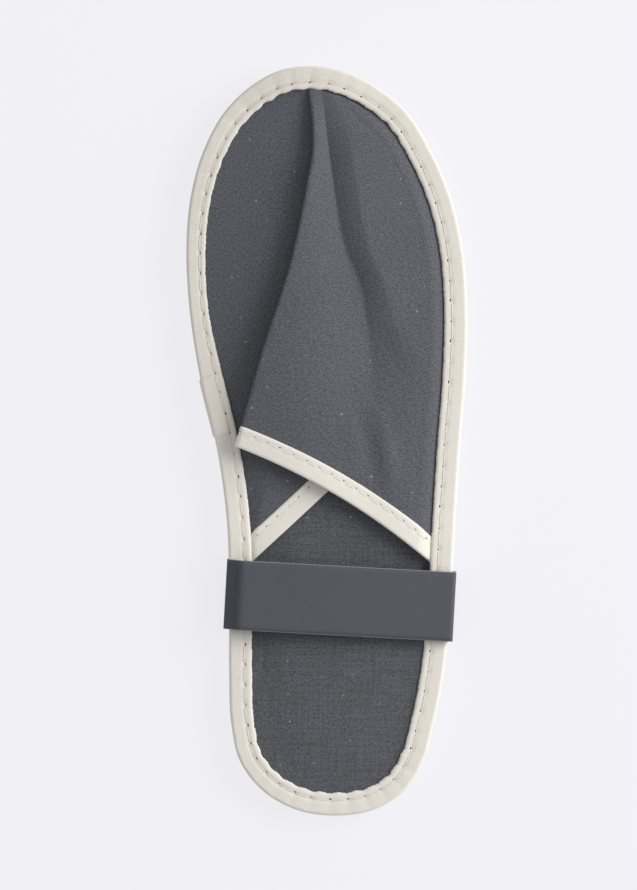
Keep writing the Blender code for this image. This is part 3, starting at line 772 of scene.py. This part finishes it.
def flapHeight(row, share, place):
    # down the strip beside the fold into the valley, up its outer side, and over to the tape
    sizes = upperSizes
    valley = np.array((valleyAcross(place[1]), place[1]))
    beyond = place[0] - valley[0]
    if beyond < 0.0:
        strip = max(1.0, valley[0] - row["fold"][0])
        way = max(0.0, 1.0 + beyond / strip)
        toeFall, collarFall = sizes["stripFall"]
        soft = ramp(share, *sizes["stripTurn"])
        fall = (1.0 - soft) * way**toeFall
        fall += soft * way**collarFall * (1.0 + collarFall - collarFall * way)
        height = row["foldZ"] + (row["valleyZ"] - row["foldZ"]) * fall
        return height + reliefAt(flapRelief, place) * ramp(fall, 0.0, sizes["reliefOnStrip"])
    gap, gapValley = fromTape("outer", place), fromTape("outer", valley)
    reach = max(0.5, min(sizes["shoulderReach"], 0.5 * gapValley))
    shoulderZ = row["edgeZ"] + row["shoulder"] * dome(gap / reach)
    rising = min(1.0, max(0.0, (gap - reach) / max(1.0, gapValley - reach)))
    shelfZ = shoulderZ + rising * (row["crestZ"] - shoulderZ)
    wall = min(1.0, beyond / row["wall"])
    height = row["valleyZ"] + wall * (shelfZ - row["valleyZ"])
    height = min(height, row["edgeZ"] + sizes["steepest"] * gap)
    return height + reliefAt(flapRelief, place) * dome(gap / sizes["reliefInset"])


def upperPoint(zone, step, share):
    # a point in the middle of the cloth: step runs over a zone, share from the toe to the collar
    row = pleatRow(share)
    bend = row["bend"]
    if zone == "panel":
        place = row["innerEnd"] + step * (row["crease"] - row["innerEnd"])
        way = min(1.0, fromTape("inner", place) / max(1.0, fromTape("inner", row["fold"])))
        climb = way + upperSizes["panelRound"] * (dome(way) - way)
        height = row["edgeZ"] + (row["bulgeZ"] - row["edgeZ"]) * climb
        height += (row["creaseZ"] - row["bulgeZ"]) * ramp(place[0], row["fold"][0], row["crease"][0])
        height += reliefAt(panelRelief, place) * climb
    elif zone == "crease":
        angle = step * math.pi
        place = row["crease"] + bend * math.sin(angle) * row["creaseSide"]
        height = row["creaseZ"] + bend * (1.0 - math.cos(angle))
    elif zone == "underlay":
        start, end = upperPoint("crease", 1.0, share), upperPoint("fold", 0.0, share)
        return start + step * (end - start)
    elif zone == "fold":
        angle = (1.0 - step) * math.pi
        place = row["fold"] - bend * math.sin(angle) * row["foldSide"]
        height = row["foldZ"] - bend * (1.0 - math.cos(angle))
    else:
        chord = row["outerEnd"] - row["fold"]
        bow = upperSizes["flapBow"] * share**3 * 4.0 * step * (1.0 - step)
        place = row["fold"] + step * chord + bow * unit(np.array((-chord[1], chord[0])))
        height = flapHeight(row, share, place)
    return np.array((*place, height))


def upperNormal(zone, step, share, hair=0.01):
    low, high = max(0.0, step - hair), min(1.0, step + hair)
    across = upperPoint(zone, high, share) - upperPoint(zone, low, share)
    low, high = max(0.0, share - hair), min(1.0, share + hair)
    along = upperPoint(zone, step, high) - upperPoint(zone, step, low)
    return unit(np.cross(along, across))


def upperShares():
    # rows lie closer together at the toe and at the collar
    rows, crowded = upperSizes["rows"], upperSizes["crowdedRows"]
    evenly = [i / rows for i in range(rows + 1)]
    return [(1.0 - crowded) * way + crowded * (0.5 - 0.5 * math.cos(math.pi * way)) for way in evenly]


def makeUpper(look):
    columns, shares = zoneSteps(upperSizes["columns"]), upperShares()
    points = np.array([[upperPoint(*column, share) for column in columns] for share in shares])
    threads = np.array([runAlong(section) for section in points])
    crease = columns.index(("crease", 1.0))
    threads -= threads[:, crease : crease + 1]

    def place(column, row):
        return arched(*points[row, column])

    def flat(column, row):
        return threads[row, column] * mm, points[row, column, 1] * mm

    bm = mappedGrid(len(columns) - 1, len(shares) - 1, place, flat, closed=True)
    bmesh.ops.reverse_faces(bm, faces=bm.faces)
    print("upper cloth area", round(sum(face.calc_area() for face in bm.faces), 5))
    piece = finishPiece(bm, "upperCloth", [look], "upper")
    giveWall(piece, upperSizes["wall"], 0.0)
    return piece


# Edge tape round the sole, its stitches and its lap

edgeTape = {
    "width": 8.6,
    "thickness": 0.7,
    "corner": 1.2,  # radius of its turn over the sole's edge
    "floor": 0.2,
    "top": 7.3,
    "liftOverUpper": 1.5,
    "liftOverCollar": 0.8,
    "liftOverPleat": 1.6,
    "collarFade": (0.5, 7.5),
    "collarLead": 0.02,
    "narrow": 1.6,  # how much less of the tape lies on the cloth beside the inner side's ball
    "narrowFromHeel": (155.0, 193.0, 275.0),  # starts, most, ends
    "stitches": 85,
    "stitchInset": 2.9,  # from the inner edge
    "stitchLength": 0.8,  # of the way from one to the next
    "stitchDip": 0.2,
    "dipWidth": 0.8,
    "threadRadius": 0.2,
    "holeSize": (0.8, 0.4),
    # painted shade in the stitched groove
    "groovePaintedShade": 0.14,
    "gatherBend": (0.004, 0.026),  # turn of the edge where the tape starts to gather, and gathers most
    "gatherLeast": 0.22,  # on straight runs
    "grooveDepth": 0.16,  # groove, lip, body and scallops as they are where it gathers most
    "grooveWidth": 0.5,
    "lipPuff": 0.16,
    "bodyRise": 0.18,
    "plainShare": 0.25,  # what is left of groove, lip and body with no gathers
    "scallop": 0.9,
    "pucker": 0.12,
    "fray": 0.22,
    "frayLength": 1.1,
    "rimTuck": 0.45,  # roll of the inner edge down to the cloth
    "rimWidth": 0.4,
    "lapFromHeel": (141.6, 162.9),
    "lapStep": 0.55,
    "lapSlant": 2.4,
    "lapSoft": 0.2,  # half the width of its two steps
    "alongSteps": 1360,
    "rows": {"upper": 16, "shoulder": 5, "side": 2, "turn": 3, "lower": 2},
}
stitchPitch = edge.length / edgeTape["stitches"]
lapMarks = [edge.markFromHeel(distance, "inner") for distance in edgeTape["lapFromHeel"]]
narrowMarks = [edge.markFromHeel(distance, "inner") for distance in edgeTape["narrowFromHeel"]]


def tapeTop(mark):
    # height of the tape's upper leg: over the bare insole, the upper's edge and the pleat
    sizes = edgeTape
    innerWay = (upperSizes["pleatMark"] - mark) % edge.length
    outerWay = (mark - upperSizes["pleatMark"]) % edge.length
    way, run = min((innerWay, innerRun), (outerWay, outerRun))
    pastCollar = 1.0 - ramp(way - run, *sizes["collarFade"])
    leads = [share - sizes["collarLead"] for share in upperSizes["collarLiftShares"]]
    lift = sizes["liftOverUpper"] + sizes["liftOverCollar"] * ramp(way / run, *leads)
    lift += sizes["liftOverPleat"] * (1.0 - ramp(way, *upperSizes["toeLiftRun"]))
    return sizes["top"] + pastCollar * lift


def tapeSection(zone, share, top):
    # inset from the sole's edge, height and outward direction on the tape's plain section
    corner, width, floor = edgeTape["corner"], edgeTape["width"], edgeTape["floor"]
    quarter = share * math.pi / 2.0
    sine, cosine = math.sin(quarter), math.cos(quarter)
    if zone == "upper":
        return width - share * (width - corner), top, (0.0, 1.0)
    if zone == "shoulder":
        return corner * (1.0 - sine), top - corner * (1.0 - cosine), (-sine, cosine)
    if zone == "side":
        return 0.0, top - corner - share * (top - floor - 2.0 * corner), (-1.0, 0.0)
    if zone == "turn":
        return corner * (1.0 - cosine), floor + corner * (1.0 - sine), (-cosine, -sine)
    return corner + share * (width - corner), floor, (0.0, -1.0)


def tapeRelief(mark, share, gather, full):
    # rise of the upper leg over its plain section, and its shift inwards
    sizes = edgeTape
    line, fromEdge = sizes["stitchInset"], share * (sizes["width"] - sizes["corner"])
    beat = 0.5 - 0.5 * math.cos(2.0 * math.pi * mark / stitchPitch)  # 1 between two stitches
    beat *= 0.75 + 0.5 * noiseAlong(mark, 4.0, 11.0)
    own = 0.7 + 1.1 * noiseAlong(0.7 * mark, stitchPitch, 3.0)  # each scallop's own size
    rise = -sizes["rimTuck"] * swell(fromEdge, sizes["rimWidth"])
    rise -= sizes["grooveDepth"] * full * swell(fromEdge - line, sizes["grooveWidth"])
    rise -= sizes["stitchDip"] * (1.0 - beat) ** 4 * swell(fromEdge - line, sizes["dipWidth"])
    rise -= sizes["pucker"] * gather * (1.0 - beat) ** 2 * ramp(fromEdge, line, line + 1.0)
    rise += sizes["lipPuff"] * full * (0.45 + 0.55 * beat) * swell(fromEdge - 0.5 * line, 0.45 * line)
    rise += sizes["bodyRise"] * full * ramp(fromEdge, line, line + 1.6)
    shift = sizes["scallop"] * gather * own * (beat - 0.45) * (1.0 - ramp(fromEdge, 0.0, line))
    shift += sizes["fray"] * noiseAlong(mark, sizes["frayLength"], 7.0) * swell(fromEdge, 0.9)
    slim = ramp(mark, *narrowMarks[:2]) * (1.0 - ramp(mark, *narrowMarks[1:]))
    return rise, shift - sizes["narrow"] * slim * (1.0 - share)


def lapAt(mark, zone, share, fromEdge):
    # 1 where the tape's end lies over its start
    sizes = edgeTape
    (first, last), soft = lapMarks, sizes["lapSoft"]
    slant = sizes["lapSlant"] * ramp(fromEdge, sizes["width"] - sizes["corner"], 0.0)
    lap = ramp(mark, first - soft, first + soft) * (1.0 - ramp(mark - slant, last - soft, last + soft))
    lap *= ramp(fromEdge, sizes["stitchInset"] - 0.5, sizes["stitchInset"] - 0.1)
    return lap * {"turn": 1.0 - share, "lower": 0.0}.get(zone, 1.0)


def tapePoint(mark, zone, share):
    # a point of the tape's outside: zones run from its inner edge over the sole's edge to below
    sizes = edgeTape
    inset, height, lean = tapeSection(zone, share, tapeTop(mark))
    gathered = ramp(edge.bendAt(mark), *sizes["gatherBend"])
    gather = sizes["gatherLeast"] + (1.0 - sizes["gatherLeast"]) * gathered
    full = sizes["plainShare"] + (1.0 - sizes["plainShare"]) * gather
    fromEdge, out = sizes["width"], 0.0
    if zone == "upper":
        fromEdge = share * (sizes["width"] - sizes["corner"])
        out, shift = tapeRelief(mark, share, gather, full)
        inset += shift
    elif zone == "shoulder":
        out = sizes["bodyRise"] * full * (1.0 - share)
    out += sizes["lapStep"] * lapAt(mark, zone, share, fromEdge)
    x, y = edge.at(mark, inset + out * lean[0])
    return np.array((x, y, height + out * lean[1]))


def makeEdgeTape():
    rows, columns = zoneSteps(edgeTape["rows"]), edgeTape["alongSteps"]
    acrossTape = runAlong([tapePoint(0.5 * edge.length, *row) for row in rows])

    def place(column, row):
        return arched(*tapePoint(edge.length * (column % columns) / columns, *rows[row]))

    def flat(column, row):
        return edgeTape["stitches"] * column / columns, acrossTape[row] * mm

    bm = mappedGrid(columns, len(rows) - 1, place, flat, closed=True)
    look = creamTape("edgeCream", stitchPitch, edgeTape)
    piece = finishPiece(bm, "edgeTape", [look], "edge_binding")
    giveWall(piece, edgeTape["thickness"], -1.0)


def threadStitches(name, spots, pitch, sizes, look):
    # spots: (middle, direction, up) of each stitch, in metres
    half, radius = 0.5 * sizes["stitchLength"] * pitch * mm, sizes["threadRadius"] * mm
    size = Matrix.Diagonal((half, radius, radius, 1.0))
    bm = bmesh.new()
    for middle, ahead, up in spots:
        side = up.cross(ahead).normalized()
        turn = Matrix((ahead, side, ahead.cross(side))).transposed().to_4x4()
        bmesh.ops.create_uvsphere(
            bm, u_segments=6, v_segments=6, radius=1.0,
            matrix=Matrix.Translation(middle) @ turn @ size @ Matrix.Rotation(math.pi / 2.0, 4, "Y"),
        )
    return finishPiece(bm, name, [look])


def makeEdgeStitches(look):
    share = edgeTape["stitchInset"] / (edgeTape["width"] - edgeTape["corner"])
    spots = []
    for i in range(edgeTape["stitches"]):
        middle = (i + 0.5) * stitchPitch
        before, at, after = (arched(*tapePoint(middle + d, "upper", share)) for d in (-1.0, 0.0, 1.0))
        spots.append((at, (after - before).normalized(), Vector((0.0, 0.0, 1.0))))
    threadStitches("edgeStitches", spots, stitchPitch, edgeTape, look)


# Collar tape, folded over the upper's free edge

collarTape = {
    "width": 7.2,  # of each leg on the cloth
    "overhang": 0.8,
    "thickness": 0.45,
    "standOff": 0.8,  # its outside from the middle of the cloth
    "startGap": 6.6,  # its ends lie under the edge tape, this far from the sole's edge
    "rimTuck": 0.22,
    "rimWidth": 0.4,
    "stitchPitch": 5.4,
    "stitchInset": 2.6,  # from the edge that lies on the cloth
    "stitchLength": 0.72,  # of the way from one to the next
    "stitchDip": 0.16,
    "dipWidth": 0.6,
    "threadRadius": 0.15,
    "holeSize": (0.5, 0.36),
    # painted shade in the stitched groove
    "groovePaintedShade": 0.1,
    "columns": {"panel": 70, "crease": 12, "underlay": 30, "fold": 12, "flap": 130},
    "plainColumn": 20,  # on the panel, where its section is measured
    "legRows": 12,
    "noseRows": 6,
    "liningRows": 4,
}


def collarColumns():
    # places along the collar, from where it comes clear of the sole's edge to where it meets it again
    def clear(zone, side):
        steps = np.linspace(0.0, 1.0, 301)
        gaps = [edge.gapTo(side, upperPoint(zone, step, 1.0)[:2]) for step in steps]
        return [step for step, gap in zip(steps, gaps) if gap > collarTape["startGap"]]

    first, last = clear("panel", "inner")[0], clear("flap", "outer")[-1]
    columns = []
    for zone, share in zoneSteps(collarTape["columns"]):
        start, end = (first if zone == "panel" else 0.0), (last if zone == "flap" else 1.0)
        columns.append((zone, start + (end - start) * share))
    return columns


def collarFrames():
    # along the collar: edge point, cloth normal, outward direction, and how far back a share goes
    columns = collarColumns()
    rim = [upperPoint(*column, 1.0) for column in columns]
    hair = 0.02
    frames = []
    for i, column in enumerate(columns):
        normal = upperNormal(*column, 1.0)
        run = rim[min(i + 1, len(rim) - 1)] - rim[max(i - 1, 0)]
        out = unit(np.cross(run, normal))
        speed = abs(float(np.dot(rim[i] - upperPoint(*column, 1.0 - hair), out))) / hair
        frames.append((column, rim[i], normal, out, speed))
    return frames, runAlong(rim)


def makeCollarTape(threadLook):
    sizes = collarTape
    frames, marks = collarFrames()
    stitches = round(marks[-1] / sizes["stitchPitch"])
    pitch = marks[-1] / stitches
    legs, nose, lining = sizes["legRows"], sizes["noseRows"], sizes["liningRows"]
    rows = [("leg", i / legs) for i in range(legs + 1)]
    rows += [("nose", i / nose) for i in range(1, nose)]
    rows += [("lining", i / lining) for i in range(lining + 1)]

    def collarPoint(column, kind, share):
        (zone, step), rim, normal, out, speed = frames[column]
        stand = sizes["standOff"]
        if kind == "nose":
            angle = math.pi * share
            return rim + sizes["overhang"] * math.sin(angle) * out + stand * math.cos(angle) * normal
        back = (1.0 - share if kind == "leg" else share) * sizes["width"]
        along = 1.0 - back / speed
        fromEdge = sizes["width"] - back
        beat = 0.5 + 0.5 * math.cos(2.0 * math.pi * marks[column] / pitch)  # 1 at a stitch
        dip = sizes["stitchDip"] * (0.4 + 0.6 * beat**3)
        rise = stand - sizes["rimTuck"] * swell(fromEdge, sizes["rimWidth"])
        rise -= dip * swell(fromEdge - sizes["stitchInset"], sizes["dipWidth"])
        side = 1.0 if kind == "leg" else -1.0
        return upperPoint(zone, step, along) + side * rise * upperNormal(zone, step, along)

    acrossTape = runAlong([collarPoint(sizes["plainColumn"], *row) for row in rows])

    def place(column, row):
        return arched(*collarPoint(column, *rows[row]))

    def flat(column, row):
        return marks[column] / pitch, acrossTape[row] * mm

    bm = mappedGrid(len(frames) - 1, len(rows) - 1, place, flat)
    bmesh.ops.reverse_faces(bm, faces=bm.faces)
    look = creamTape("collarCream", pitch, sizes)
    tape = finishPiece(bm, "collarTape", [look], "collar_binding")
    giveWall(tape, sizes["thickness"], -1.0)

    spots = []
    share = sizes["stitchInset"] / sizes["width"]
    for i in range(1, stitches):
        column = int(np.searchsorted(marks, (i + 0.5) * pitch))
        before, after = max(0, column - 1), min(len(frames) - 1, column + 1)
        start, end = (arched(*collarPoint(c, "leg", share)) for c in (before, after))
        spots.append(((start + end) / 2.0, (end - start).normalized(), Vector(frames[column][2])))
    return tape, threadStitches("collarStitches", spots, pitch, sizes, threadLook)


# Paper band round the waist

paperBand = {
    "width": 26.0,
    "paper": 0.35,
    "centre": (5.3, -59.4),
    "tilt": -3.2,
    # the paper's way round: across, height and radius at each corner
    "corners": (
        (42.4, 11.9, 1.6),
        (-38.6, 15.2, 5.0),
        (-43.3, 9.0, 1.6),
        (-43.3, 0.1, 3.0),
        (42.4, 0.1, 1.6),
    ),
    "wave": 0.18,  # of the top face, between its folds
    "waveLengths": (26.0, 30.0),  # across and along the slipper
    "waveInner": (-34.0, -26.0),  # across, where it starts and is full on the inner side
    "waveOuter": (40.0, 34.0),
    "roundSteps": 7,
    "step": 2.0,
    "widthSteps": 14,
}


def bandPath():
    # the paper's way round as (across, height): a polygon with every corner rounded
    corners = [np.array(row[:2]) for row in paperBand["corners"]]
    path = []
    for i, corner in enumerate(corners):
        radius = paperBand["corners"][i][2]
        before, after = unit(corners[i - 1] - corner), unit(corners[(i + 1) % len(corners)] - corner)
        half = 0.5 * math.acos(float(np.dot(before, after)))
        middle = corner + radius / math.sin(half) * unit(before + after)
        start = corner + radius / math.tan(half) * before
        end = corner + radius / math.tan(half) * after
        if path:
            count = max(2, round(float(np.linalg.norm(start - path[-1])) / paperBand["step"]))
            path += [path[-1] + (start - path[-1]) * k / count for k in range(1, count)]
        for k in range(paperBand["roundSteps"] + 1):
            share = k / paperBand["roundSteps"]
            path.append(middle + radius * unit((1.0 - share) * (start - middle) + share * (end - middle)))
    return path


def makePaperBand(looks):
    path = bandPath()
    columns, rows = len(path), paperBand["widthSteps"]
    turn = math.radians(paperBand["tilt"])
    topFrom = paperBand["corners"][0][1] - 0.2

    def place(column, row):
        x, z = path[column % columns]
        along = paperBand["width"] * (row / rows - 0.5)
        if z > topFrom:
            wide, long = paperBand["waveLengths"]
            free = ramp(x, *paperBand["waveInner"]) * ramp(x, *paperBand["waveOuter"])
            z += free * paperBand["wave"] * noise.noise(Vector((x / wide, along / long, 1.0)))
        return Vector((
            paperBand["centre"][0] + x * math.cos(turn) - along * math.sin(turn),
            paperBand["centre"][1] + x * math.sin(turn) + along * math.cos(turn),
            z,
        )) * mm

    around = runAlong(path + path[:1])

    def flat(column, row):
        return around[column] * mm, paperBand["width"] * (row / rows - 0.5) * mm

    bm = mappedGrid(columns, rows, place, flat, closed=True)
    bmesh.ops.reverse_faces(bm, faces=bm.faces)
    piece = finishPiece(bm, "paperBand", looks, "paper_band")
    giveWall(piece, paperBand["paper"], -1.0, rim=1)


# Floor, light and camera

stageSizes = {
    "viewCentre": (-3.1, -1.4),
    "viewHeight": 331.6,  # of the whole picture, at viewLevel
    "viewLevel": 12.0,
    "cameraUp": 1600.0,  # from viewLevel
    "keyFrom": (1.3, 0.45, 0.75),
    "keyAway": 1500.0,
    "keySize": 1000.0,
    "keyPower": 23.0,
    "fill": 0.57,
    "fillColour": (0.96, 0.97, 1.0, 1.0),
    "floorSize": 4000.0,  # from its middle to each side
    "floorTone": (94, 94, 96),
    "floorGlow": (228, 227, 231),
}


def makeStage():
    scene = bpy.context.scene
    scene.view_settings.view_transform = "Standard"
    scene.view_settings.look = "None"

    bm = bmesh.new()
    bmesh.ops.create_grid(bm, x_segments=8, y_segments=8, size=stageSizes["floorSize"] * mm)
    mesh = bpy.data.meshes.new("floor")
    bm.to_mesh(mesh)
    bm.free()
    floor = bpy.data.objects.new("floor", mesh)
    scene.collection.objects.link(floor)
    tone, glow = tint(*stageSizes["floorTone"]), tint(*stageSizes["floorGlow"])
    look = Look("paleFloor", Base_Color=tone, Roughness=0.9, Specular_IOR_Level=0.1,
                Emission_Color=glow, Emission_Strength=1.0)
    mesh.materials.append(look.material)

    world = bpy.data.worlds.new("studioFill")
    scene.world = world
    world.use_nodes = True
    sky = world.node_tree.nodes["Background"]
    sky.inputs["Color"].default_value = stageSizes["fillColour"]
    sky.inputs["Strength"].default_value = stageSizes["fill"]

    aim = Vector((*stageSizes["viewCentre"], 0.0)) * mm
    key = bpy.data.lights.new("softKey", "AREA")
    key.shape = "SQUARE"
    key.size = stageSizes["keySize"] * mm
    key.energy = stageSizes["keyPower"]
    keyLamp = bpy.data.objects.new("softKey", key)
    keyLamp.location = aim + Vector(stageSizes["keyFrom"]).normalized() * stageSizes["keyAway"] * mm
    keyLamp.rotation_euler = (aim - keyLamp.location).to_track_quat("-Z", "Y").to_euler()
    scene.collection.objects.link(keyLamp)

    lens = bpy.data.cameras.new("above")
    lens.sensor_fit = "VERTICAL"
    lens.sensor_height = 24.0
    lens.lens = lens.sensor_height * stageSizes["cameraUp"] / stageSizes["viewHeight"]
    lens.clip_end = 20.0
    camera = bpy.data.objects.new("above", lens)
    camera.location = aim + Vector((0.0, 0.0, stageSizes["cameraUp"] + stageSizes["viewLevel"])) * mm
    scene.collection.objects.link(camera)
    scene.camera = camera


# Putting it together

thread = creamThread()
makeOutsole(paleFoam())
makeInsole(slateCloth("insoleCloth", "insole", "object"))
upper = makeUpper(slateCloth("upperCloth", "upper", "flat"))
makeEdgeTape()
makeEdgeStitches(thread)
collar, collarThread = makeCollarTape(thread)
makePaperBand([slatePaper(), paperCore()])
makeStage()
print("stage set")
